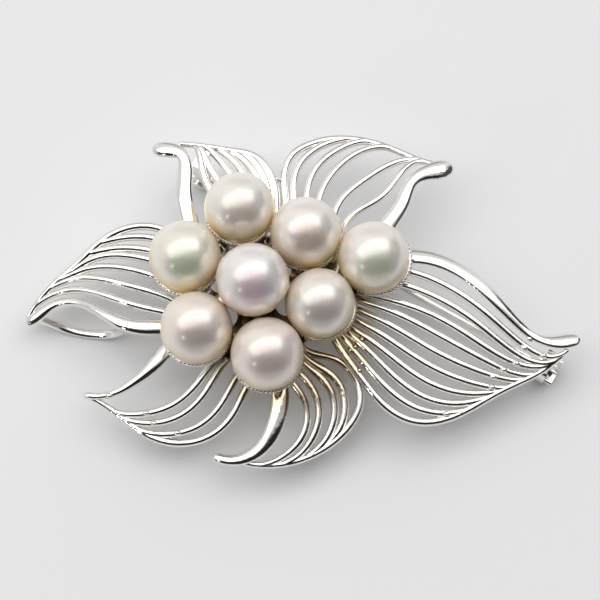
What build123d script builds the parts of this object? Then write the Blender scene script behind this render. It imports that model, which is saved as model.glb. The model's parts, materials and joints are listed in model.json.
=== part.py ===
from build123d import *
import os
from collections import namedtuple
from math import asin, cos, degrees, hypot, radians, sin, sqrt

# Pearl brooch: six open petals of soldered silver wire round eight half-drilled pearls.
# All lengths are in millimetres. The brooch lies on its back, pin side down, on z = 0.
# +X points along the long right petal, +Y along the two upper petals, +Z at the viewer.

# Place of the flower's middle from the middle of the whole outline
flower_x = -5.35
flower_y = -0.29

# Pearls and their cups
pearl_d = 8.2
pearl_gap = 0.12
seat_gap = 0.06
cup_wall = 0.4
rim_wire_d = 0.5
rim_drop = 0.50
centre_rim_drop = 0.76
peg_d = 0.9
peg_gap = 0.05
peg_length = 3.0
post_d = 2.5
post_rise = 0.4
centre_lift = 2.0

# Gallery plate that carries the cups and the roots of all ribs
gallery_height = 7.0
gallery_thick = 1.0
gallery_edge = 1.0
gallery_hole_d = 2.6
far_reach = 1.5

# Petal wires
rib_d = 0.9
edge_d = 0.96
edge_tip_d = 0.66
main_thick = 1.05
main_thin = 0.45
root_d = 0.52
root_taper = 0.14
root_start = 0.05
end_share = 0.98
rib_tip_share = 0.9
rib_tip_taper = 0.24

# Bowed loop under the left petal
loop_wide = 1.05
loop_thick = 0.7

# Pin, hinge and catch
pin_height = 1.8
pin_d = 0.8
pin_root_length = 2.0
pin_point_length = 3.0
pin_point_d = 0.25
pin_past_catch = 0.4
eye_d = 2.0
eye_wide = 1.1
rivet_d = 0.8
rivet_head_d = 1.3
rivet_head_thick = 0.25
rivet_play = 0.03
ear_wide = 1.8
ear_thick = 0.6
eye_play = 0.05
side_gap = 0.08
bridge_gap = 0.3
bridge_thick = 0.8
leg_thick = 1.1
hinge_leg_wide = 2.3
leg_sink = 0.15
housing_thick = 1.3
housing_slot = 1.1
barrel_d = 2.1
barrel_play = 0.05
barrel_slot = 1.0
flange_d = 2.7
flange_thick = 0.35
lever_wide = 0.7
lever_thick = 0.45
lever_clear = 0.12
catch_leg_wide = 2.2
hinge_on_rib = 0.79
catch_on_edge = 0.92
catch_inward = 1.0

# Pearls: reach is a share of the pitch between neighbours, turn is degrees from +X,
# size is a share of pearl_d, lean is degrees that the cup leans to the flower's middle
Pearl = namedtuple("Pearl", "name reach turn size lean")
pearls = [
    Pearl("pearl_centre", 0.00, 0, 1.00, 0),
    Pearl("pearl_top_left", 1.11, 99.9, 0.975, 0),
    Pearl("pearl_top", 1.025, 45.7, 0.985, 0),
    Pearl("pearl_far_right", 1.68, 13.2, 0.99, 12),
    Pearl("pearl_right", 0.94, -15.9, 0.96, 8),
    Pearl("pearl_bottom", 0.98, -78.4, 0.995, 0),
    Pearl("pearl_bottom_left", 0.965, -141.7, 0.985, 0),
    Pearl("pearl_left", 1.005, 156.8, 0.995, 0),
]

# Petals: along and across are shares of the petal's length and width, across is to the left
# of its aim, level is a share of gallery_height, broad is a share of main_wide, and roll is
# degrees that the left side of the broad main rib is raised
Spine = namedtuple("Spine", "along across level broad")
Edge = namedtuple("Edge", "along across level")
Rib = namedtuple("Rib", "start land hold swell")
Petal = namedtuple("Petal", "name spine_under edge_under aim length width main_wide roll spine edge ribs")

right_petal = Petal(
    "right", ["pearl_far_right"], ["pearl_right"], -16, 27.0, 12.0, 2.1, -18,
    [
        Spine(0.22, 0.49, 1.16, 1.00),
        Spine(0.40, 0.50, 1.20, 0.90),
        Spine(0.59, 0.33, 1.19, 0.80),
        Spine(0.71, 0.18, 1.09, 0.62),
        Spine(0.80, 0.09, 1.00, 0.48),
        Spine(0.87, 0.06, 0.99, 0.68),
        Spine(0.94, 0.11, 0.97, 0.92),
        Spine(1.01, 0.17, 0.97, 0.74),
    ],
    [
        Edge(0.05, -0.55, 0.93),
        Edge(0.18, -0.78, 0.86),
        Edge(0.34, -0.98, 0.76),
        Edge(0.47, -0.98, 0.74),
        Edge(0.62, -0.77, 0.74),
        Edge(0.74, -0.50, 0.76),
        Edge(0.87, -0.24, 0.80),
        Edge(0.965, 0.04, 0.91),
    ],
    [
        Rib(0.86, 1.00, 8.0, 0.03),
        Rib(0.72, 0.98, 5.0, 0.16),
        Rib(0.51, 0.97, 3.0, 0.50),
        Rib(0.44, 0.88, 3.6, 0.37),
        Rib(0.34, 0.84, 3.3, 0.37),
        Rib(0.24, 0.78, 3.0, 0.38),
        Rib(0.14, 0.76, 1.9, 0.49),
        Rib(0.11, 0.72, 1.8, 0.31),
        Rib(0.07, 0.63, 3.9, 0.07),
    ],
)
upper_right_petal = Petal(
    "upper_right", ["pearl_far_right"], ["pearl_top_left", "pearl_top"], 55, 17.4, 9.0, 1.95, 0,
    [
        Spine(0.36, -0.50, 1.21, 1.06),
        Spine(0.58, -0.48, 1.21, 0.92),
        Spine(0.72, -0.43, 1.20, 0.70),
        Spine(0.845, -0.53, 1.16, 1.02),
        Spine(0.915, -0.63, 1.10, 1.22),
        Spine(0.99, -0.72, 1.03, 0.86),
    ],
    [
        Edge(0.15, 0.78, 1.00),
        Edge(0.27, 0.97, 1.00),
        Edge(0.40, 1.07, 1.00),
        Edge(0.55, 1.01, 0.94),
        Edge(0.735, 0.71, 0.86),
        Edge(0.865, 0.17, 0.87),
        Edge(0.895, -0.19, 0.94),
        Edge(0.93, -0.55, 1.09),
    ],
    [
        Rib(0.55, 0.96, 4.8, 0.58),
        Rib(0.51, 0.93, 8.0, 0.15),
        Rib(0.40, 0.88, 2.6, 0.30),
        Rib(0.28, 0.80, 1.6, 0.50),
        Rib(0.14, 0.69, 1.0, 0.66),
        Rib(0.05, 0.60, 1.1, 0.28),
    ],
)
upper_left_petal = Petal(
    "upper_left", ["pearl_left"], ["pearl_top_left", "pearl_top"], 105, 14.4, 7.0, 1.9, 0,
    [
        Spine(0.28, 0.52, 1.24, 1.04),
        Spine(0.46, 0.51, 1.29, 1.00),
        Spine(0.70, 0.39, 1.27, 0.94),
        Spine(0.85, 0.37, 1.26, 0.74),
        Spine(0.915, 0.52, 1.23, 1.04),
        Spine(0.97, 0.82, 1.14, 0.80),
    ],
    [
        Edge(0.42, -0.99, 1.03),
        Edge(0.57, -0.97, 1.01),
        Edge(0.73, -0.81, 0.97),
        Edge(0.83, -0.43, 0.99),
        Edge(0.90, -0.04, 1.09),
        Edge(0.95, 0.35, 1.21),
    ],
    [
        Rib(0.50, 0.91, 6.0, 0.40),
        Rib(0.36, 0.90, 6.0, 0.40),
        Rib(0.36, 0.87, 6.0, 0.08),
        Rib(0.28, 0.77, 6.0, 0.00),
        Rib(0.12, 0.69, 6.0, 0.06),
        Rib(0.06, 0.63, 3.2, 0.06),
    ],
)
left_petal = Petal(
    "left", ["pearl_bottom_left"], ["pearl_left"], 185, 19.6, 9.0, 1.7, 0,
    [
        Spine(0.20, 0.28, 1.06, 1.10),
        Spine(0.34, 0.25, 1.07, 1.06),
        Spine(0.51, 0.05, 1.00, 0.75),
        Spine(0.69, -0.20, 0.79, 0.55),
        Spine(0.81, -0.22, 0.67, 0.58),
        Spine(0.91, -0.13, 0.54, 0.82),
        Spine(1.00, -0.04, 0.43, 0.74),
    ],
    [
        Edge(0.16, -1.02, 1.09),
        Edge(0.33, -1.07, 1.07),
        Edge(0.48, -0.97, 1.01),
        Edge(0.66, -0.69, 0.89),
        Edge(0.84, -0.44, 0.67),
        Edge(0.98, -0.13, 0.47),
    ],
    [
        Rib(0.88, 0.95, 8.0, -0.25),
        Rib(0.74, 0.84, 6.0, -0.30),
        Rib(0.61, 0.78, 8.0, -0.37),
        Rib(0.42, 0.75, 3.6, -0.20),
        Rib(0.31, 0.60, 8.0, -0.15),
        Rib(0.14, 0.53, 8.0, -0.05),
    ],
)
lower_left_petal = Petal(
    "lower_left", ["pearl_bottom_left"], ["pearl_bottom"], 215, 16.9, 7.0, 1.75, 0,
    [
        Spine(0.38, -0.63, 0.99, 1.00),
        Spine(0.515, -0.55, 0.97, 0.90),
        Spine(0.645, -0.54, 0.87, 0.68),
        Spine(0.80, -0.59, 0.77, 0.50),
        Spine(0.98, -0.87, 0.69, 0.42),
    ],
    [
        Edge(0.07, 0.60, 0.86),
        Edge(0.23, 0.80, 0.77),
        Edge(0.40, 0.88, 0.69),
        Edge(0.54, 0.80, 0.61),
        Edge(0.74, 0.42, 0.57),
        Edge(0.85, -0.17, 0.59),
        Edge(0.91, -0.57, 0.63),
        Edge(0.98, -0.85, 0.67),
    ],
    [
        Rib(0.64, 0.94, 8.0, 0.10),
        Rib(0.52, 0.87, 8.0, -0.01),
        Rib(0.43, 0.82, 8.0, -0.12),
        Rib(0.18, 0.73, 8.0, -0.03),
    ],
)
lower_petal = Petal(
    "lower", ["pearl_bottom"], ["pearl_right"], 283, 13.5, 9.0, 2.1, 0,
    [
        Spine(0.38, -0.32, 0.97, 1.00),
        Spine(0.56, -0.39, 0.93, 1.00),
        Spine(0.70, -0.51, 0.87, 0.94),
        Spine(0.83, -0.73, 0.77, 0.78),
        Spine(0.87, -1.00, 0.70, 0.64),
        Spine(0.78, -1.31, 0.64, 0.48),
    ],
    [
        Edge(0.08, 0.10, 0.90),
        Edge(0.19, 0.38, 0.84),
        Edge(0.41, 0.66, 0.77),
        Edge(0.66, 0.62, 0.69),
        Edge(0.80, 0.43, 0.64),
        Edge(0.93, 0.07, 0.61),
        Edge(0.98, -0.47, 0.60),
        Edge(0.89, -0.98, 0.66),
    ],
    [
        Rib(0.81, 0.96, 8.0, -0.40),
        Rib(0.47, 0.86, 2.7, 0.22),
        Rib(0.21, 0.76, 1.3, 0.67),
        Rib(0.12, 0.69, 1.6, 0.38),
    ],
)
petals = [
    right_petal, upper_right_petal, upper_left_petal, left_petal, lower_left_petal, lower_petal,
]

# Loop under the left petal: along and across as on that petal, lift is a share of pin_height
Bow = namedtuple("Bow", "along across lift")
loop_rows = [
    Bow(0.86, -0.06, 0.85),
    Bow(0.79, -0.01, 0.24),
    Bow(0.71, 0.05, 0.04),
    Bow(0.61, 0.10, 0.04),
    Bow(0.52, 0.13, 0.35),
    Bow(0.44, 0.15, 1.40),
]
loop_from = 0.93
loop_to = 0.42

os.makedirs("parts", exist_ok=True)

# Places that follow from the sizes
pearl_pitch = pearl_d + pearl_gap
gallery_top = gallery_height + gallery_thick / 2
rib_shares = [0, 0.14, 0.32, 0.52, 0.72, 0.88, 1]
edge_steps = 12
edge_full_to = 0.6
spine_steps = 10
nose_parts = [0, 0.5, 0.85, 1]
nose_left = 0.35
section_step = 0.004


def pearl_radius(pearl):
    return pearl.size * pearl_d / 2


def pearl_place(pearl):
    x = flower_x + pearl.reach * pearl_pitch * cos(radians(pearl.turn))
    y = flower_y + pearl.reach * pearl_pitch * sin(radians(pearl.turn))
    lift = centre_lift if pearl.reach == 0 else 0
    seat = gallery_top + post_rise + cup_wall + seat_gap
    return Vector(x, y, seat + pearl_radius(pearl) + lift)


def root_under(names):
    chosen = [pearl_place(pearl) for pearl in pearls if pearl.name in names]
    middle = sum(chosen, Vector(0, 0, 0)) / len(chosen)
    return Vector(middle.X, middle.Y, gallery_height)


def petal_point(petal, along, across, height):
    middle = (root_under(petal.spine_under) + root_under(petal.edge_under)) / 2
    ahead = Vector(1, 0, 0).rotate(Axis.Z, petal.aim)
    left = Vector(0, 1, 0).rotate(Axis.Z, petal.aim)
    flat = middle + ahead * (along * petal.length) + left * (across * petal.width)
    return Vector(flat.X, flat.Y, height)


def petal_curve(petal, rows, root):
    points = [root_under(root)]
    points += [petal_point(petal, r.along, r.across, r.level * gallery_height) for r in rows]
    with BuildLine() as line:
        Spline(*points)
    return line.edge()


def rib_point(curves, rib, share):
    spine_curve, edge_curve = curves
    reach = share * rib.land
    offset = (1 - share**rib.hold) * (rib.start + rib.swell * share)
    on_edge = edge_curve @ reach
    return on_edge + (spine_curve @ reach - on_edge) * offset


def section_plane(route, share, roll):
    """Plane across a route: roll is degrees that its left side is raised."""
    ahead = (route(min(1, share + section_step)) - route(max(0, share - section_step))).normalized()
    level_side = Vector(0, 0, 1).cross(ahead).normalized()
    side = level_side.rotate(Axis((0, 0, 0), ahead), roll)
    return Plane(origin=route(share), x_dir=side, z_dir=ahead)


def wire_along(route, shares, wide, thick, roll=0):
    with BuildPart() as wire:
        for share in shares:
            with BuildSketch(section_plane(route, share, roll)):
                Ellipse(wide(share) / 2, thick(share) / 2)
        loft()
    return wire.part


def round_end(wire, place, end_d):
    with BuildPart() as ended:
        add(wire)
        with Locations(place):
            Sphere(end_share * end_d / 2)
    return ended.part


def nose(share, nose_from):
    """Share of the full width left on a main rib's rounded nose."""
    past = max(0, (share - nose_from) / (1 - nose_from))
    return sqrt(1 - (1 - nose_left**2) * past**2)


def from_root(shares):
    return [max(root_start, share) for share in shares]


def between(shares, values, share):
    for i in range(len(shares) - 1):
        if share <= shares[i + 1]:
            part = (share - shares[i]) / (shares[i + 1] - shares[i])
            return values[i] + part * (values[i + 1] - values[i])
    return values[-1]


def even_shares(steps):
    return [i / steps for i in range(steps + 1)]


# Curves of each petal: the main rib's line and the outer edge's line
curves_of = {}
for petal in petals:
    curves_of[petal.name] = (
        petal_curve(petal, petal.spine, petal.spine_under),
        petal_curve(petal, petal.edge, petal.edge_under),
    )


def main_rib(petal):
    line = curves_of[petal.name][0]
    marks = [0] + [line.param_at_point(
        petal_point(petal, r.along, r.across, r.level * gallery_height)) for r in petal.spine]
    broads = [petal.spine[0].broad] + [r.broad for r in petal.spine]
    nose_from = 1 - petal.main_wide * broads[-1] / 2 / line.length
    shares = [share for share in from_root(even_shares(spine_steps)) if share < nose_from]
    shares += [nose_from + (1 - nose_from) * part for part in nose_parts]
    return wire_along(
        lambda share: line @ share,
        shares,
        lambda share: petal.main_wide * between(marks, broads, share) * nose(share, nose_from),
        lambda share: nose(share, nose_from) * main_thick * (
            main_thin + (1 - main_thin) * between(marks, broads, share)),
        petal.roll,
    )


def edge_size(share):
    return edge_d - (edge_d - edge_tip_d) * max(0, share - edge_full_to) / (1 - edge_full_to)


def edge_wire(petal):
    line = curves_of[petal.name][1]
    shares = from_root(even_shares(edge_steps))
    wire = wire_along(lambda share: line @ share, shares, edge_size, edge_size)
    return round_end(wire, line @ 1, edge_tip_d)


def inner_rib(petal, rib):
    """A rib that is thinner at its root, and at its tip, which ends inside the edge wire."""
    curves = curves_of[petal.name]
    tip_d = rib_tip_share * edge_size(rib.land)

    def size(share):
        root = (rib_d - root_d) * max(0, 1 - share / root_taper)
        tip = (rib_d - tip_d) * max(0, 1 - (1 - share) / rib_tip_taper)
        return rib_d - root - tip

    return wire_along(lambda share: rib_point(curves, rib, share), from_root(rib_shares), size, size)


# Pin line: from the hinge under an upper left rib to the catch under the right petal's edge
hinge_rib_spot = rib_point(curves_of["upper_left"], upper_left_petal.ribs[0], hinge_on_rib)
catch_edge_spot = curves_of["right"][1] @ catch_on_edge
hinge_spot = Vector(hinge_rib_spot.X, hinge_rib_spot.Y, pin_height)
catch_side = petal_point(right_petal, 0, 1, 0) - petal_point(right_petal, 0, 0, 0)
catch_flat = catch_edge_spot + catch_side.normalized() * catch_inward
catch_spot = Vector(catch_flat.X, catch_flat.Y, pin_height)
pin_ahead = (catch_spot - hinge_spot).normalized()
pin_left = Vector(0, 0, 1).cross(pin_ahead)
catch_reach = (catch_spot - hinge_spot).length
stem_length = catch_reach + housing_thick / 2 + side_gap + flange_thick + pin_past_catch


def side_view(ahead, up):
    """Plane whose x runs along the pin, y is up and normal is the hinge axis."""
    return Plane(
        origin=hinge_spot + pin_ahead * ahead + Vector(0, 0, up), x_dir=pin_ahead, z_dir=-pin_left
    )


def end_view(ahead, up):
    """Plane whose x runs along the hinge axis, y is up and normal is the pin's line."""
    return Plane(
        origin=hinge_spot + pin_ahead * ahead + Vector(0, 0, up), x_dir=pin_left, z_dir=pin_ahead
    )


# Gallery plate: a rounded hull round the outer pearls, pierced between each cup and the middle
outer_pearls = [pearl for pearl in pearls if pearl.reach > 0]
ring_pearls = [pearl for pearl in outer_pearls if pearl.reach < far_reach]
with BuildPart() as gallery:
    with BuildSketch(Plane.XY.offset(gallery_height - gallery_thick / 2)) as outline:
        spots = [(pearl_place(pearl).X, pearl_place(pearl).Y) for pearl in outer_pearls]
        with Locations(*spots):
            Circle(gallery_edge)
        make_hull(outline.edges())
        for pearl in ring_pearls:
            hole = (pearl_place(pearl) + pearl_place(pearls[0])) / 2
            with Locations((hole.X, hole.Y)):
                Circle(gallery_hole_d / 2, mode=Mode.SUBTRACT)
    extrude(amount=gallery_thick)


def cup_plane(pearl):
    place = pearl_place(pearl)
    inward = pearl_place(pearls[0]) - place
    tilt = Vector(inward.X, inward.Y, 0)
    if pearl.lean == 0 or tilt.length == 0:
        return Plane(origin=place)
    axis = Vector(0, 0, 1) * cos(radians(pearl.lean)) + tilt.normalized() * sin(radians(pearl.lean))
    return Plane(origin=place, z_dir=axis)


# Cups: a bowl with a round rim wire on a short post, hollowed for the pearl, and a peg
cups = []
for pearl in pearls:
    radius = pearl_radius(pearl)
    drop = radius * (centre_rim_drop if pearl.reach == 0 else rim_drop)
    bowl = radius + seat_gap + cup_wall
    rim = sqrt((radius + seat_gap) ** 2 - drop**2) + cup_wall / 2
    post_base = gallery_height - pearl_place(pearl).Z
    with BuildPart() as cup:
        with Locations(pearl_place(pearl) + Vector(0, 0, post_base)):
            Cylinder(post_d / 2, -post_base - radius / 2, align=(Align.CENTER, Align.CENTER, Align.MIN))
        with Locations(cup_plane(pearl)):
            Sphere(bowl, arc_size1=-90, arc_size2=-degrees(asin(drop / bowl)), align=None)
            with Locations((0, 0, -drop)):
                Torus(rim, rim_wire_d / 2)
            Sphere(radius + seat_gap, mode=Mode.SUBTRACT)
            with Locations((0, 0, -radius - seat_gap - cup_wall / 2)):
                Cylinder(peg_d / 2, peg_length, align=(Align.CENTER, Align.CENTER, Align.MIN))
    cups.append(cup.part)


# Bowed loop: its ends are soldered under the left petal's main rib
left_line = curves_of["left"][0]
loop_points = [left_line @ loop_from]
for row in loop_rows:
    height = loop_thick / 2 + row.lift * pin_height
    loop_points.append(petal_point(left_petal, row.along, row.across, height))
loop_points.append(left_line @ loop_to)
with BuildLine() as loop_path:
    Spline(*loop_points)
loop_line = loop_path.edge()
loop_wire = wire_along(
    lambda share: loop_line @ share, even_shares(edge_steps), lambda s: loop_wide, lambda s: loop_thick
)

# Hinge: two ears with a bridge over the eye, on a leg that is soldered under the ribs
ear_gap = eye_wide + 2 * side_gap
ears_wide = ear_gap + 2 * ear_thick
bridge_base = eye_d / 2 + bridge_gap
with BuildPart() as hinge:
    with BuildSketch(side_view(0, 0)):
        with Locations((0, (bridge_base + bridge_thick + ear_wide / 2 - pin_height) / 2)):
            Rectangle(ear_wide, bridge_base + bridge_thick - ear_wide / 2 + pin_height)
        with Locations((0, ear_wide / 2 - pin_height)):
            Circle(ear_wide / 2)
    extrude(amount=ears_wide / 2, both=True)
    with BuildSketch(side_view(0, 0)):
        with Locations((0, (bridge_base - pin_height) / 2)):
            Rectangle(2 * ear_wide, bridge_base + pin_height)
    extrude(amount=ear_gap / 2, both=True, mode=Mode.SUBTRACT)
    with BuildSketch(side_view(0, 0)):
        Circle(rivet_d / 2 + rivet_play)
    extrude(amount=ears_wide, both=True, mode=Mode.SUBTRACT)
    leg_base = bridge_base + bridge_thick / 2
    leg_top = hinge_rib_spot.Z - leg_sink - pin_height
    with BuildSketch(Plane(origin=hinge_spot + Vector(0, 0, leg_base), x_dir=pin_ahead)):
        Rectangle(leg_thick, hinge_leg_wide)
    extrude(amount=leg_top - leg_base)

# Catch housing: a round block with a slot below, on a leg under the right petal's edge
housing_radius = hypot(pin_height, housing_slot / 2)
with BuildPart() as catch_housing:
    with BuildSketch(end_view(catch_reach, 0)):
        Circle(housing_radius)
    extrude(amount=housing_thick / 2, both=True)
    leg_base = (housing_radius + barrel_d / 2 + barrel_play) / 2
    leg_top = catch_edge_spot.Z - leg_sink - pin_height
    with BuildSketch(Plane(origin=catch_spot + Vector(0, 0, leg_base), x_dir=pin_ahead)):
        Rectangle(leg_thick, catch_leg_wide)
    extrude(amount=leg_top - leg_base)
    with BuildSketch(end_view(catch_reach, 0)):
        Circle(barrel_d / 2 + barrel_play)
        with Locations((0, -housing_radius)):
            Rectangle(housing_slot, 2 * housing_radius)
    extrude(amount=housing_thick, both=True, mode=Mode.SUBTRACT)

# Petals: each one's wires soldered together
soldered_petals = []
for petal in petals:
    with BuildPart() as petal_wires:
        add(main_rib(petal))
        add([edge_wire(petal)] + [inner_rib(petal, rib) for rib in petal.ribs])
    soldered_petals.append(petal_wires.part)

# The soldered frame: petals, gallery, cups, loop, hinge ears and catch housing in one solid
with BuildPart() as frame:
    add(gallery.part)
    add(cups)
    add([loop_wire, hinge.part, catch_housing.part])
    for petal_part in soldered_petals:
        add(petal_part)
frame.part.label = "frame"
export_step(frame.part, "parts/frame.step")

# Pearls: spheres, half drilled for their pegs
for pearl in pearls:
    radius = pearl_radius(pearl)
    with BuildPart() as bead:
        with Locations(cup_plane(pearl)):
            Sphere(radius)
            with Locations((0, 0, -radius - seat_gap - cup_wall)):
                Cylinder(
                    peg_d / 2 + peg_gap,
                    peg_length + cup_wall / 2 + seat_gap,
                    align=(Align.CENTER, Align.CENTER, Align.MIN),
                    mode=Mode.SUBTRACT,
                )
    bead.part.label = pearl.name
    export_step(bead.part, f"parts/{pearl.name}.step")

# Pin: an eye on the rivet, a root as broad as the eye, a round stem and a tapered point
root_end = eye_d / 2 + pin_root_length
with BuildPart() as pin_stem:
    with BuildSketch(side_view(0, 0)):
        Circle(eye_d / 2)
    extrude(amount=eye_wide / 2, both=True)
    with BuildSketch(end_view(0, 0)):
        Circle(eye_wide / 2)
    with BuildSketch(end_view(root_end, 0)):
        Circle(pin_d / 2)
    loft()
    with BuildSketch(end_view(root_end, 0)):
        Circle(pin_d / 2)
    extrude(amount=stem_length - pin_point_length - root_end)
    with BuildSketch(end_view(stem_length - pin_point_length, 0)):
        Circle(pin_d / 2)
    with BuildSketch(end_view(stem_length, 0)):
        Circle(pin_point_d / 2)
    loft()
    with BuildSketch(side_view(0, 0)):
        Circle(rivet_d / 2 + eye_play)
    extrude(amount=eye_wide, both=True, mode=Mode.SUBTRACT)
pin_stem.part.label = "pin_stem"
export_step(pin_stem.part, "parts/pin_stem.step")

# Rivet: a shank through the ears with a round head at each end
with BuildPart() as hinge_rivet:
    shank = ears_wide / 2 + rivet_play
    with BuildSketch(side_view(0, 0)):
        Circle(rivet_d / 2)
    extrude(amount=shank + rivet_head_thick, both=True)
    with BuildSketch(side_view(0, 0)):
        Circle(rivet_head_d / 2)
    extrude(amount=shank + rivet_head_thick, both=True)
    with BuildSketch(side_view(0, 0)):
        Circle(rivet_head_d)
        Circle(rivet_d / 2, mode=Mode.SUBTRACT)
    extrude(amount=shank, both=True, mode=Mode.SUBTRACT)
hinge_rivet.part.label = "hinge_rivet"
export_step(hinge_rivet.part, "parts/hinge_rivet.step")

# Catch barrel: flanged at both ends, slotted for the pin, with a lever across its outer end
flange_base = housing_thick / 2 + side_gap
lever_half = pin_height - lever_clear
with BuildPart() as catch_rotor:
    with BuildSketch(end_view(catch_reach, 0)):
        Circle(barrel_d / 2)
    extrude(amount=flange_base + flange_thick, both=True)
    for side in (-1, 1):
        with BuildSketch(end_view(catch_reach + side * (flange_base + flange_thick / 2), 0)):
            Circle(flange_d / 2)
        extrude(amount=flange_thick / 2, both=True)
    with BuildSketch(end_view(catch_reach + flange_base, 0)):
        SlotOverall(2 * lever_half, lever_wide)
    extrude(amount=flange_thick + lever_thick)
    with BuildSketch(end_view(catch_reach, 0)):
        Circle(barrel_slot / 2)
        with Locations((0, -flange_d)):
            Rectangle(barrel_slot, 2 * flange_d)
    extrude(amount=2 * flange_base + lever_thick + flange_thick, both=True, mode=Mode.SUBTRACT)
catch_rotor.part.label = "catch_rotor"
export_step(catch_rotor.part, "parts/catch_rotor.step")
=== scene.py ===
"""Looks of the pearl brooch: polished silver wire, nacre pearls, beaded cup rims, solder beads,
and the pale studio floor that it lies on. Lengths in the tables are in millimetres."""
import json
import math

import bmesh
import bpy
from bpy.props import FloatProperty, FloatVectorProperty, PointerProperty
from bpy.types import Operator, Panel, PropertyGroup
from collections import namedtuple
from mathutils import Matrix, Vector
from mathutils.bvhtree import BVHTree

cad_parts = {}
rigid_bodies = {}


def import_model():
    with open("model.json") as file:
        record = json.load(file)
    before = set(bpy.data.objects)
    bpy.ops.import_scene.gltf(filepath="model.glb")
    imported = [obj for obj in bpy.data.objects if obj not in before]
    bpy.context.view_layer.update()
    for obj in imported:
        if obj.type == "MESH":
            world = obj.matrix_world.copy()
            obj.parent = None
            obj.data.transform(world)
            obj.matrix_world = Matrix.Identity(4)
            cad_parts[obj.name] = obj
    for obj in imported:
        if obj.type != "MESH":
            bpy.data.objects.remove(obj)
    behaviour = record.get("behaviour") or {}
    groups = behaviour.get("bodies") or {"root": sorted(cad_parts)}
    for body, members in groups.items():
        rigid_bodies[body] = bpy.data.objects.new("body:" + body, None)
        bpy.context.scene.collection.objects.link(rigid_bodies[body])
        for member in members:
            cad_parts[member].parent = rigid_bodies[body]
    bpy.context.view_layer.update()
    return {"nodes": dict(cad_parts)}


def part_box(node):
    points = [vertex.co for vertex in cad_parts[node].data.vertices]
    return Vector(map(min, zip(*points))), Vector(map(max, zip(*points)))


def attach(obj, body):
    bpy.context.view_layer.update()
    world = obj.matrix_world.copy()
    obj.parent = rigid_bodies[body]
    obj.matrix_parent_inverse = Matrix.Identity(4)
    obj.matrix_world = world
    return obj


bl_info = {
    "name": "Pearl brooch looks",
    "version": (1, 0, 0),
    "blender": (4, 5, 0),
    "location": "3D View > Sidebar > Brooch",
    "description": "Dresses the pearl brooch in silver and nacre and lights it",
    "category": "Material",
}

for leftover in list(bpy.data.objects):
    bpy.data.objects.remove(leftover)
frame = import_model()
MM = 0.001

METAL_NODES = ("frame", "hinge_rivet", "pin_stem", "catch_rotor")

# Pearls: body is the colour of the overtone patch, darker than the nacre as a painted reflection
# of the unlit south wall; orient is the nacre's colour around it; under is a painted golden
# reflection of the silver and the other pearls on the low side, near the cup; lean is degrees
# that the cup leans to the middle of the flower
PearlLook = namedtuple("PearlLook", "node body orient under lean")
PEARL_LOOKS = (
    PearlLook("pearl_centre", "D2C0C4", "EDE9E6", "F0DECA", 0),
    PearlLook("pearl_top_left", "D6CBC2", "EEE9E1", "F6DFA8", 0),
    PearlLook("pearl_top", "CFC0B6", "EEE8E2", "F6DFB0", 0),
    PearlLook("pearl_far_right", "CBCEBB", "EDE7E0", "F3DFB0", 12),
    PearlLook("pearl_right", "C6BDB8", "ECE6DD", "EEDDBC", 8),
    PearlLook("pearl_bottom", "CCC0BC", "ECE2DA", "F0E0CC", 0),
    PearlLook("pearl_bottom_left", "CBC0BA", "EEE5DC", "EEDCBC", 0),
    PearlLook("pearl_left", "CBD0BA", "EDE9DE", "F4DDA4", 0),
)
CENTRE_PEARL = "pearl_centre"
# The overtone patch, painted darker as a reflection of the unlit south wall, faces this way and
# fades in between two cosines; the painted golden reflection on the low side comes in as the
# skin's normal turns down, between two values of its Z
OVERTONE_AND_REFLECTION_WAY = (0.05, -0.49, 0.87)
OVERTONE_AND_REFLECTION_START, OVERTONE_AND_REFLECTION_FULL = 0.76, 0.99
PAINTED_BOUNCE_START, PAINTED_BOUNCE_FULL = 0.62, -0.05

# Cups: the gap between a pearl and its bowl, and from there out to the row of grains
PEARL_GAP, GRAINS_OUT = 0.06, 0.30

# Painted reflection on the silver, the golden-brown of the pearls' shaded undersides mirrored in
# the roots: a ball round the roots south of the pearls, full inside and gone outside
PAINTED_REFLECTION_MIDDLE = (-1.5, -4.0, 6.5)
PAINTED_REFLECTION_FULL, PAINTED_REFLECTION_GONE, PAINTED_REFLECTION_SHARE = 8.0, 12.0, 0.75

# Solder, put on the metal nearest to its x and y at SOLDER_LEVEL: size is its width, stretch is
# its length and SOLDER_TALL its height in widths, turn is how it lies, in degrees from +X
Bead = namedtuple("Bead", "x y size stretch turn")
SOLDER_BEADS = (
    Bead(-2.8, 13.9, 0.85, 1.0, 0),
    Bead(-2.9, 13.0, 0.70, 1.0, 0),
    Bead(-2.9, 10.6, 0.80, 1.0, 0),
    Bead(7.0, -5.3, 0.62, 1.3, -40),
    Bead(6.3, -6.1, 0.60, 1.3, -40),
    Bead(5.5, -6.7, 0.58, 1.3, -50),
    Bead(6.8, -8.3, 0.60, 1.3, -60),
    Bead(7.0, -8.7, 0.56, 1.3, -60),
    Bead(26.1, -5.3, 0.60, 1.5, -30),
    Bead(25.5, -6.3, 0.62, 1.6, -28),
    Bead(27.7, -7.2, 0.56, 1.5, -10),
    Bead(24.6, -8.2, 0.60, 1.6, -22),
    Bead(23.2, -8.9, 0.58, 1.5, -20),
    Bead(22.0, -9.9, 0.56, 1.5, -18),
    Bead(22.0, -10.9, 0.58, 1.5, -15),
    Bead(16.7, -14.0, 0.60, 1.5, -5),
    Bead(-22.0, -12.1, 0.56, 1.5, 155),
    Bead(-17.9, -13.9, 0.58, 1.5, 165),
    Bead(-17.0, -15.1, 0.56, 1.5, 165),
    Bead(-14.3, -16.2, 0.58, 1.5, 175),
)
SOLDER_LEVEL, SOLDER_TALL = 7.0, 1.05

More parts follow.
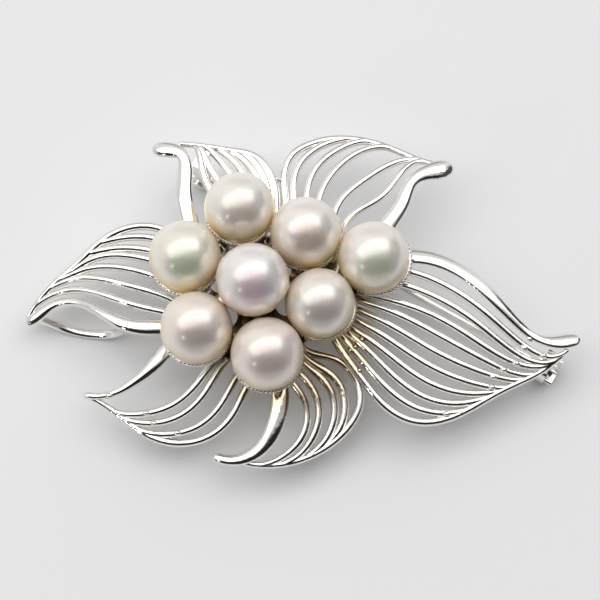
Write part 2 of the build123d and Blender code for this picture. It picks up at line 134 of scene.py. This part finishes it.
# Studio walls: how bright each is
GREY_WALL, NORTH_WALL, DARK_WALL, EAST_WALL, LOW_WALL = 0.60, 0.84, 0.02, 0.08, 0.40
# The unlit wall's start, end and soft edge, in degrees up from the north over the top (180 is the
# southern horizon), and how far it reaches to east and west, with that edge's softness
DARK_FROM, DARK_TO, DARK_SOFT = 110, 165, 6
DARK_SIDE, SIDE_SOFT = 0.78, 0.08
# Where the other walls begin and are full: Y for the north and its low part, X for the east
NORTH_START, NORTH_FULL = 0.10, 0.60
LOW_START, LOW_FULL = 0.80, 0.97
EAST_START, EAST_FULL = 0.62, 0.80

# Soft lights: x, y and z give the way to each, and distance, width and height are in metres
Softbox = namedtuple("Softbox", "name x y z distance width height watts colour")
SOFTBOXES = (
    Softbox("window", -0.08, 0.24, 0.97, 0.6, 1.43, 0.50, 3.5, "FFFFFF"),
    Softbox("strip_light", -0.60, -0.62, 0.50, 0.6, 0.012, 0.09, 0.10, "FFFFFF"),
)
# Stage: the point that the camera looks at, in millimetres, and half the floor's side, in metres
CAMERA_TARGET = (-0.06, -0.64, 7.0)
FLOOR_REACH = 2.0


def linear(hex_colour):
    """Linear red, green, blue and alpha of an sRGB hex colour."""
    values = [int(hex_colour[i:i + 2], 16) / 255 for i in (0, 2, 4)]
    shares = [v / 12.92 if v <= 0.04045 else ((v + 0.055) / 1.055) ** 2.4 for v in values]
    return (*shares, 1.0)


def add_node(tree, kind, settings=None, inputs=None):
    """Adds a node: settings are its properties, inputs are values or sockets to link from."""
    node = tree.nodes.new(kind)
    for key, value in (settings or {}).items():
        setattr(node, key, value)
    for key, value in (inputs or {}).items():
        if isinstance(value, bpy.types.NodeSocket):
            tree.links.new(value, node.inputs[key])
        else:
            node.inputs[key].default_value = value
    return node


def new_material(name):
    """A material with an empty node tree, its Principled shader and its output."""
    material = bpy.data.materials.new(name)
    material.use_nodes = True
    tree = material.node_tree
    tree.nodes.clear()
    shader = add_node(tree, "ShaderNodeBsdfPrincipled")
    output = add_node(tree, "ShaderNodeOutputMaterial")
    tree.links.new(shader.outputs["BSDF"], output.inputs["Surface"])
    return material, tree, shader


def mesh_piece(name, shape, material, body):
    """Turns a bmesh into a named piece that rides on a body."""
    mesh = bpy.data.meshes.new(name)
    shape.to_mesh(mesh)
    shape.free()
    mesh.shade_smooth()
    mesh.materials.append(material)
    piece = bpy.data.objects.new(name, mesh)
    bpy.context.scene.collection.objects.link(piece)
    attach(piece, body)
    return piece


class SilverSettings(PropertyGroup):
    colour: FloatVectorProperty(
        name="Silver colour", description="Colour of freshly polished silver", subtype="COLOR",
        size=4, min=0, max=1, default=linear("EFECE8"))
    # Painted reflection colour: the golden-brown of the pearls' shaded undersides, which the roots
    # mirror, painted into the silver's colour
    painted_reflection_colour: FloatVectorProperty(
        name="Tarnish colour", description="Warm film where the polishing wheel didn't reach",
        subtype="COLOR", size=4, min=0, max=1, default=linear("AE9870"))
    roughness: FloatProperty(
        name="Roughness", description="Roughness of the polished surface", subtype="FACTOR",
        min=0, max=1, default=0.09)
    scratch: FloatProperty(
        name="Scratch spacing", description="Distance between fine handling marks, in metres",
        unit="LENGTH", min=0.00001, default=0.25 * MM)


class PearlSettings(PropertyGroup):
    roughness: FloatProperty(
        name="Roughness", description="Roughness of the nacre under its gloss", subtype="FACTOR",
        min=0, max=1, default=0.30)
    lustre: FloatProperty(
        name="Lustre", description="Share of the light that the nacre's layers mirror",
        subtype="FACTOR", min=0, max=1, default=0.38)
    gloss: FloatProperty(
        name="Gloss", description="Share of clear gloss on the nacre", subtype="FACTOR",
        min=0, max=1, default=0.35)
    depth: FloatProperty(
        name="Glow depth", description="How far light travels in the nacre, in metres",
        unit="LENGTH", min=0.0, default=1.3 * MM)


class BeadSettings(PropertyGroup):
    size: FloatProperty(
        name="Bead size", description="Diameter of one grain of the beaded rim, in metres",
        unit="LENGTH", min=0.0001, default=0.50 * MM)
    pitch: FloatProperty(
        name="Bead pitch", description="Distance from grain to grain along the rim, in metres",
        unit="LENGTH", min=0.0001, default=0.44 * MM)
    rim_share: FloatProperty(
        name="Rim drop", description="Rim's drop under the pearl's middle, in shares of its radius",
        subtype="FACTOR", min=0, max=1, default=0.50)


class StageSettings(PropertyGroup):
    elevation: FloatProperty(
        name="Camera elevation", description="Camera's angle above the floor", subtype="ANGLE",
        default=math.radians(75))
    distance: FloatProperty(
        name="Camera distance", description="Distance from the camera to the brooch, in metres",
        unit="LENGTH", default=229.5 * MM)
    lens: FloatProperty(
        name="Lens", description="Focal length in millimetres", unit="CAMERA", default=120.0)
    floor_colour: FloatVectorProperty(
        name="Floor colour", description="Colour of the pale paper floor", subtype="COLOR",
        size=4, min=0, max=1, default=linear("EAEAEB"))


def polished_silver(settings):
    # Sterling silver, drawn to wire, soldered and buffed: mirror-bright, with faint handling
    # marks that break up the highlights, and a painted golden-brown reflection of the pearls'
    # shaded undersides down in the roots under the pearls
    material, tree, shader = new_material("polished_sterling_silver")
    shader.inputs["Metallic"].default_value = 1.0
    place = add_node(tree, "ShaderNodeNewGeometry")
    # Painted reflection of the pearls' shaded undersides: full on the roots south of the pearls
    # and gone farther out along the petals
    reach = add_node(tree, "ShaderNodeVectorMath", {"operation": "DISTANCE"}, {
        0: place.outputs["Position"], 1: Vector(PAINTED_REFLECTION_MIDDLE) * MM})
    painted_reflection = add_node(tree, "ShaderNodeMapRange", {"interpolation_type": "SMOOTHSTEP"}, {
        "Value": reach.outputs["Value"], "From Min": PAINTED_REFLECTION_FULL * MM, "From Max": PAINTED_REFLECTION_GONE * MM,
        "To Min": PAINTED_REFLECTION_SHARE, "To Max": 0.0})
    mixed = add_node(tree, "ShaderNodeMix", {"data_type": "RGBA"}, {
        "Factor": painted_reflection.outputs["Result"],
        "A": tuple(settings.colour), "B": tuple(settings.painted_reflection_colour)})
    tree.links.new(mixed.outputs["Result"], shader.inputs["Base Color"])
    # Handling marks: 0.25 mm apart
    marks = add_node(tree, "ShaderNodeTexNoise", inputs={
        "Vector": place.outputs["Position"], "Scale": 1 / settings.scratch, "Detail": 4.0})
    rough = add_node(tree, "ShaderNodeMapRange", inputs={
        "Value": marks.outputs["Fac"], "From Min": 0.3, "From Max": 0.7,
        "To Min": settings.roughness * 0.6, "To Max": settings.roughness * 1.6})
    tree.links.new(rough.outputs["Result"], shader.inputs["Roughness"])
    # Slow waves left by hand filing, about 2 mm long and 0.015 mm high
    waves = add_node(tree, "ShaderNodeTexNoise", inputs={
        "Vector": place.outputs["Position"], "Scale": 1 / (1.8 * MM), "Detail": 1.0})
    bump = add_node(tree, "ShaderNodeBump", inputs={
        "Height": waves.outputs["Fac"], "Strength": 0.25, "Distance": 0.06 * MM})
    tree.links.new(bump.outputs["Normal"], shader.inputs["Normal"])
    return material


def pearl_nacre(look, settings):
    # Cultured pearl: layered aragonite nacre, polished. The layers reflect the room softly, like
    # a satin mirror, under a thin clear gloss; cream all over, with a patch of rose or green
    # overtone on the side that leans to the viewer, painted darker there as a reflection of the
    # unlit south wall, and a painted golden reflection of the silver and the other pearls low
    # down, near the cup
    material, tree, shader = new_material("nacre_of_" + look.node)
    place = add_node(tree, "ShaderNodeNewGeometry")
    # Overtone patch with a painted reflection: darker where the unlit south wall would be mirrored
    towards = add_node(tree, "ShaderNodeVectorMath", {"operation": "DOT_PRODUCT"}, {
        0: place.outputs["Normal"], 1: OVERTONE_AND_REFLECTION_WAY})
    spot = add_node(tree, "ShaderNodeMapRange", {"interpolation_type": "SMOOTHSTEP"}, {
        "Value": towards.outputs["Value"],
        "From Min": OVERTONE_AND_REFLECTION_START, "From Max": OVERTONE_AND_REFLECTION_FULL})
    tint = add_node(tree, "ShaderNodeMix", {"data_type": "RGBA"}, {
        "Factor": spot.outputs["Result"], "A": linear(look.orient), "B": linear(look.body)})
    # Painted reflection: golden light from the silver and the other pearls, on the low side
    way = add_node(tree, "ShaderNodeSeparateXYZ", inputs={"Vector": place.outputs["Normal"]})
    low = add_node(tree, "ShaderNodeMapRange", {"interpolation_type": "SMOOTHSTEP"}, {
        "Value": way.outputs["Z"], "From Min": PAINTED_BOUNCE_START, "From Max": PAINTED_BOUNCE_FULL})
    warm = add_node(tree, "ShaderNodeMix", {"data_type": "RGBA"}, {
        "Factor": low.outputs["Result"], "A": tint.outputs["Result"], "B": linear(look.under)})
    # Cloudiness of the skin: patches about 3 mm across
    clouds = add_node(tree, "ShaderNodeTexNoise", inputs={
        "Vector": place.outputs["Position"], "Scale": 1 / (3 * MM), "Detail": 2.0})
    tone = add_node(tree, "ShaderNodeHueSaturation", inputs={"Color": warm.outputs["Result"]})
    value = add_node(tree, "ShaderNodeMapRange", inputs={
        "Value": clouds.outputs["Fac"], "To Min": 0.94, "To Max": 1.06})
    tree.links.new(value.outputs["Result"], tone.inputs["Value"])
    tree.links.new(tone.outputs["Color"], shader.inputs["Base Color"])
    shader.inputs["Metallic"].default_value = settings.lustre
    shader.inputs["Roughness"].default_value = settings.roughness
    shader.inputs["IOR"].default_value = 1.53
    shader.inputs["Subsurface Weight"].default_value = 0.75
    shader.inputs["Subsurface Radius"].default_value = (1.0, 0.9, 0.75)
    shader.inputs["Subsurface Scale"].default_value = settings.depth
    shader.inputs["Coat Weight"].default_value = settings.gloss
    shader.inputs["Coat Roughness"].default_value = 0.11
    shader.inputs["Coat IOR"].default_value = 1.6
    # Skin: shallow orange peel, 0.6 mm across
    skin = add_node(tree, "ShaderNodeTexNoise", inputs={
        "Vector": place.outputs["Position"], "Scale": 1 / (0.6 * MM), "Detail": 1.0})
    bump = add_node(tree, "ShaderNodeBump", inputs={
        "Height": skin.outputs["Fac"], "Strength": 0.10, "Distance": 0.02 * MM})
    tree.links.new(bump.outputs["Normal"], shader.inputs["Normal"])
    return material


def give(node, material):
    """Puts a material on every slot of a CAD node."""
    mesh = frame["nodes"][node].data
    for i in range(len(mesh.materials)):
        mesh.materials[i] = material


def cup_axes(look):
    """Middle and radius of a pearl, and the matrix that turns +Z to its cup's axis."""
    low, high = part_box(look.node)
    middle, radius = (low + high) / 2, (high.x - low.x) / 2
    if look.lean == 0:
        return middle, radius, Matrix.Identity(4)
    low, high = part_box(CENTRE_PEARL)
    inward = (low + high) / 2 - middle
    side = Vector((0, 0, 1)).cross(Vector((inward.x, inward.y, 0)))
    return middle, radius, Matrix.Rotation(math.radians(look.lean), 4, side.normalized())


class BROOCH_OT_silver(Operator):
    """Gives the soldered frame, the pin, its rivet and the catch their polished silver"""
    bl_idname = "brooch.silver"
    bl_label = "Polish the silver"

    def execute(self, context):
        material = polished_silver(context.scene.brooch_silver)
        for node in METAL_NODES:
            give(node, material)
        return {"FINISHED"}


class BROOCH_OT_pearls(Operator):
    """Gives each pearl its own nacre"""
    bl_idname = "brooch.pearls"
    bl_label = "Grow the nacre"

    def execute(self, context):
        for look in PEARL_LOOKS:
            give(look.node, pearl_nacre(look, context.scene.brooch_pearl))
        return {"FINISHED"}


class BROOCH_OT_beaded_rims(Operator):
    """Sets a row of small silver grains along the rim of each outer cup"""
    bl_idname = "brooch.beaded_rims"
    bl_label = "Bead the cup rims"

    def execute(self, context):
        settings = context.scene.brooch_beads
        material = bpy.data.materials["polished_sterling_silver"]
        for look in PEARL_LOOKS:
            if look.node == CENTRE_PEARL:
                continue
            middle, radius, turn = cup_axes(look)
            drop = radius * settings.rim_share
            bowl = radius + PEARL_GAP * MM
            rim = math.sqrt(bowl ** 2 - drop ** 2) + GRAINS_OUT * MM
            count = round(2 * math.pi * rim / settings.pitch)
            shape = bmesh.new()
            for i in range(count):
                angle = 2 * math.pi * i / count
                spot = turn @ Vector((rim * math.cos(angle), rim * math.sin(angle), -drop))
                bmesh.ops.create_icosphere(
                    shape, subdivisions=2, radius=settings.size / 2,
                    matrix=Matrix.Translation(middle + spot))
            mesh_piece("rim_beads_of_" + look.node, shape, material, "frame")
        return {"FINISHED"}


class BROOCH_OT_solder(Operator):
    """Sets the small solder beads on the metal where wires meet"""
    bl_idname = "brooch.solder"
    bl_label = "Set the solder beads"

    def execute(self, context):
        material = bpy.data.materials["polished_sterling_silver"]
        source = frame["nodes"]["frame"]
        tree = BVHTree.FromObject(source, context.evaluated_depsgraph_get())
        shape = bmesh.new()
        for bead in SOLDER_BEADS:
            spot = tree.find_nearest(Vector((bead.x, bead.y, SOLDER_LEVEL)) * MM)[0]
            lie = Matrix.Rotation(math.radians(bead.turn), 4, "Z")
            form = lie @ Matrix.Diagonal((bead.stretch, 1.0, SOLDER_TALL, 1.0))
            bmesh.ops.create_icosphere(
                shape, subdivisions=3, radius=bead.size / 2 * MM,
                matrix=Matrix.Translation(spot) @ form)
        mesh_piece("solder_beads", shape, material, "frame")
        return {"FINISHED"}


def studio_world():
    """Studio walls: grey at the sides, paler in the north, and one unlit wall in the south."""
    world = bpy.data.worlds.new("studio_walls")
    world.use_nodes = True
    tree = world.node_tree
    way = add_node(tree, "ShaderNodeTexCoord")
    parts = add_node(tree, "ShaderNodeSeparateXYZ", inputs={"Vector": way.outputs["Generated"]})
    height = add_node(tree, "ShaderNodeMath", {"operation": "ARCTAN2"}, {
        0: parts.outputs["Z"], 1: parts.outputs["Y"]})
    aside = add_node(tree, "ShaderNodeMath", {"operation": "ABSOLUTE"}, {0: parts.outputs["X"]})
    rise, side = height.outputs["Value"], aside.outputs["Value"]
    edges = (
        (rise, math.radians(DARK_FROM - DARK_SOFT), math.radians(DARK_FROM + DARK_SOFT)),
        (rise, math.radians(DARK_TO + DARK_SOFT), math.radians(DARK_TO - DARK_SOFT)),
        (side, DARK_SIDE + SIDE_SOFT, DARK_SIDE - SIDE_SOFT),
    )
    unlit = 1.0
    for value, start, end in edges:
        step = add_node(tree, "ShaderNodeMapRange", {"interpolation_type": "SMOOTHSTEP"}, {
            "Value": value, "From Min": start, "From Max": end})
        both = add_node(tree, "ShaderNodeMath", {"operation": "MULTIPLY"}, {
            0: unlit, 1: step.outputs["Result"]})
        unlit = both.outputs["Value"]
    north = add_node(tree, "ShaderNodeMapRange", inputs={
        "Value": parts.outputs["Y"], "From Min": NORTH_START, "From Max": NORTH_FULL,
        "To Min": GREY_WALL, "To Max": NORTH_WALL})
    low = add_node(tree, "ShaderNodeMapRange", {"interpolation_type": "SMOOTHSTEP"}, {
        "Value": parts.outputs["Y"], "From Min": LOW_START, "From Max": LOW_FULL})
    east = add_node(tree, "ShaderNodeMapRange", {"interpolation_type": "SMOOTHSTEP"}, {
        "Value": parts.outputs["X"], "From Min": EAST_START, "From Max": EAST_FULL})
    # Each wall covers the ones before it, where its share is 1
    strength = north.outputs["Result"]
    for share, wall in (
        (low.outputs["Result"], LOW_WALL),
        (east.outputs["Result"], EAST_WALL),
        (unlit, DARK_WALL),
    ):
        mixed = add_node(tree, "ShaderNodeMix", inputs={
            "Factor": share, "A": strength, "B": wall})
        strength = mixed.outputs["Result"]
    background = tree.nodes["Background"]
    background.inputs["Color"].default_value = linear("FFFFFF")
    tree.links.new(strength, background.inputs["Strength"])
    return world


def area_light(box):
    """A soft light that faces the brooch."""
    light = bpy.data.lights.new(box.name, "AREA")
    light.shape = "RECTANGLE"
    light.size, light.size_y = box.width, box.height
    light.energy = box.watts
    light.color = linear(box.colour)[:3]
    lamp = bpy.data.objects.new(box.name, light)
    away = Vector((box.x, box.y, box.z)).normalized()
    lamp.location = away * box.distance
    lamp.rotation_euler = (-away).to_track_quat("-Z", "Y").to_euler()
    return lamp


class BROOCH_OT_stage(Operator):
    """Lays the pale floor and sets the camera and the soft studio lights"""
    bl_idname = "brooch.stage"
    bl_label = "Set the stage"

    def execute(self, context):
        scene, settings = context.scene, context.scene.brooch_stage
        scene.view_settings.view_transform = "Standard"
        # Floor: matt card, with faint fibres 0.4 mm apart
        material, tree, shader = new_material("pale_matt_card")
        place = add_node(tree, "ShaderNodeNewGeometry")
        fibres = add_node(tree, "ShaderNodeTexNoise", inputs={
            "Vector": place.outputs["Position"], "Scale": 1 / (0.4 * MM), "Detail": 3.0})
        bump = add_node(tree, "ShaderNodeBump", inputs={
            "Height": fibres.outputs["Fac"], "Strength": 0.1, "Distance": 0.02 * MM})
        tree.links.new(bump.outputs["Normal"], shader.inputs["Normal"])
        shader.inputs["Base Color"].default_value = tuple(settings.floor_colour)
        shader.inputs["Roughness"].default_value = 0.9
        shader.inputs["Specular IOR Level"].default_value = 0.1
        shape = bmesh.new()
        bmesh.ops.create_grid(shape, x_segments=1, y_segments=1, size=FLOOR_REACH)
        mesh = bpy.data.meshes.new("floor")
        shape.to_mesh(mesh)
        shape.free()
        mesh.materials.append(material)
        floor = bpy.data.objects.new("floor", mesh)
        scene.collection.objects.link(floor)
        # Camera: the photograph's angle and framing
        lens = bpy.data.cameras.new("photo_camera")
        lens.lens = settings.lens
        lens.sensor_width = 36.0
        lens.clip_start = 5 * MM
        camera = bpy.data.objects.new("photo_camera", lens)
        back = Vector((0, -math.cos(settings.elevation), math.sin(settings.elevation)))
        target = Vector(CAMERA_TARGET) * MM
        camera.location = target + back * settings.distance
        camera.rotation_euler = (math.radians(90) - settings.elevation, 0, 0)
        scene.collection.objects.link(camera)
        scene.camera = camera
        scene.world = studio_world()
        for softbox in SOFTBOXES:
            scene.collection.objects.link(area_light(softbox))
        return {"FINISHED"}


class BROOCH_PT_panel(Panel):
    """Lists the brooch's settings and steps in the sidebar"""
    bl_idname = "BROOCH_PT_panel"
    bl_label = "Pearl brooch"
    bl_space_type = "VIEW_3D"
    bl_region_type = "UI"
    bl_category = "Brooch"

    def draw(self, context):
        for group in (context.scene.brooch_silver, context.scene.brooch_pearl,
                      context.scene.brooch_beads, context.scene.brooch_stage):
            box = self.layout.box()
            for key in group.__annotations__:
                box.prop(group, key)
        for operator in OPERATORS:
            self.layout.operator(operator.bl_idname)


OPERATORS = (
    BROOCH_OT_silver, BROOCH_OT_pearls, BROOCH_OT_beaded_rims, BROOCH_OT_solder, BROOCH_OT_stage,
)
GROUPS = {
    "brooch_silver": SilverSettings,
    "brooch_pearl": PearlSettings,
    "brooch_beads": BeadSettings,
    "brooch_stage": StageSettings,
}


def register():
    for kind in (*GROUPS.values(), *OPERATORS, BROOCH_PT_panel):
        bpy.utils.register_class(kind)
    for name, kind in GROUPS.items():
        setattr(bpy.types.Scene, name, PointerProperty(type=kind))


def unregister():
    for name in GROUPS:
        delattr(bpy.types.Scene, name)
    for kind in reversed((*GROUPS.values(), *OPERATORS, BROOCH_PT_panel)):
        bpy.utils.unregister_class(kind)


def main():
    register()
    for step in (bpy.ops.brooch.silver, bpy.ops.brooch.pearls, bpy.ops.brooch.beaded_rims,
                 bpy.ops.brooch.solder, bpy.ops.brooch.stage):
        step()


if __name__ == "__main__":
    main()
